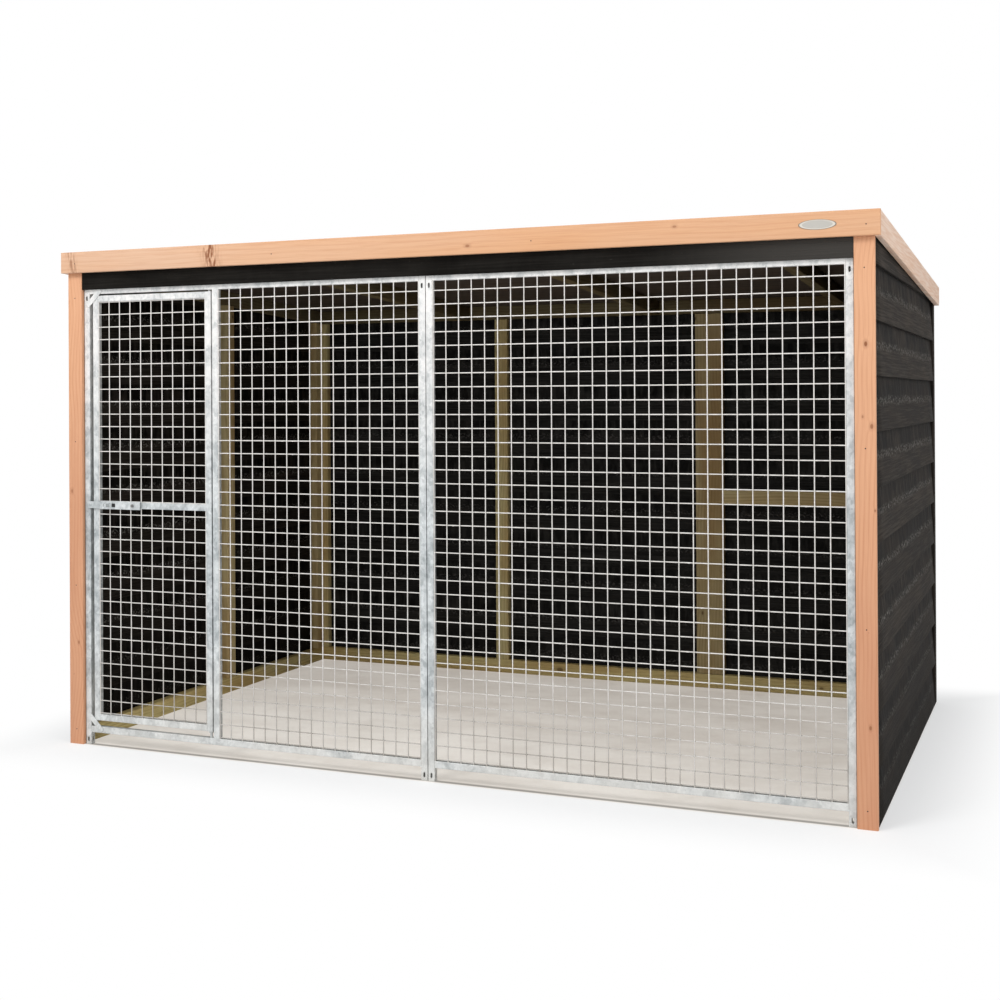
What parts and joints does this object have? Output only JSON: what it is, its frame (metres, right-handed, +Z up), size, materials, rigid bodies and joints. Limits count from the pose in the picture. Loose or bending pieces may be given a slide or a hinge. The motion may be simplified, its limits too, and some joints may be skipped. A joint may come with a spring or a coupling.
{
  "type": "chicken run",
  "caption": "Walk-in run with a welded mesh front, an inward-opening mesh door with a sliding latch, boarded timber walls and a gently sloping flat roof.",
  "frame": {"origin": "middle of the footprint, on the ground the run stands on", "axes": "+X along the front with the door on the -X side, +Y from the mesh front to the back wall, +Z up"},
  "size_m": [3.19, 2.1944, 1.9846],
  "materials": {
    "galvanised_steel": "hot-dip galvanised, satin",
    "planed_timber": "planed softwood, unfinished",
    "stained_timber": "softwood with dark stain, matt",
    "framing_timber": "pressure-treated softwood, matt",
    "roof_boarding": "strand board, matt",
    "roof_covering": "rubber membrane, matt",
    "plate": "satin, bare"
  },
  "bodies": {
    "kennel": {"back_wall_bottom_plates": "framing_timber", "back_wall_cladding": "stained_timber", "back_wall_joint_studs": "framing_timber", "back_wall_left_stud": "framing_timber", "back_wall_middle_stud": "framing_timber", "back_wall_noggin": "framing_timber", "back_wall_right_stud": "framing_timber", "back_wall_top_plates": "framing_timber", "door_hinge_pin_lower": "galvanised_steel", "door_hinge_pin_upper": "galvanised_steel", "door_stop_strip_lower": "galvanised_steel", "door_stop_strip_upper": "galvanised_steel", "front_corner_board_left": "planed_timber", "front_corner_board_right": "planed_timber", "front_fascia": "planed_timber", "header_board": "stained_timber", "left_panel_bottom_rail": "galvanised_steel", "left_panel_hinge_post": "galvanised_steel", "left_panel_inner_upright": "galvanised_steel", "left_panel_mesh": "galvanised_steel", "left_panel_outer_upright": "galvanised_steel", "left_panel_top_rail": "galvanised_steel", "left_wall_bottom_plate": "framing_timber", "left_wall_cladding": "stained_timber", "left_wall_front_stud": "framing_timber", "left_wall_middle_stud": "framing_timber", "left_wall_rear_stud": "framing_timber", "left_wall_top_plate": "framing_timber", "name_plate": "plate", "rafter_left": "framing_timber", "rafter_middle": "framing_timber", "rafter_right": "framing_timber", "rear_corner_board_left": "stained_timber", "rear_corner_board_right": "stained_timber", "rear_fascia": "planed_timber", "right_panel_bottom_rail": "galvanised_steel", "right_panel_inner_upright": "galvanised_steel", "right_panel_mesh": "galvanised_steel", "right_panel_outer_upright": "galvanised_steel", "right_panel_top_rail": "galvanised_steel", "right_wall_bottom_plate": "framing_timber", "right_wall_cladding": "stained_timber", "right_wall_front_stud": "framing_timber", "right_wall_middle_stud": "framing_timber", "right_wall_rear_stud": "framing_timber", "right_wall_top_plate": "framing_timber", "roof_covering": "roof_covering", "roof_deck": "roof_boarding", "side_fascia_left": "planed_timber", "side_fascia_right": "planed_timber"},
    "door": {"door_bottom_rail": "galvanised_steel", "door_hinge_upright": "galvanised_steel", "door_latch_upright": "galvanised_steel", "door_mesh": "galvanised_steel", "door_middle_rail": "galvanised_steel", "door_top_rail": "galvanised_steel", "latch_bolt": "galvanised_steel", "latch_cover": "galvanised_steel"},
    "latch_bar": {"latch_bar": "galvanised_steel"}
  },
  "joints": [
    {"name": "door_hinge", "type": "hinge", "parent": "kennel", "child": "door", "pos_m": [-0.924, -1.04765, 0], "axis": [0, 0, -1], "range_deg": [0, 105]},
    {"name": "latch_slide", "type": "slide", "parent": "door", "child": "latch_bar", "axis": [1, 0, 0], "range_m": [0, 0.028]}
  ]
}
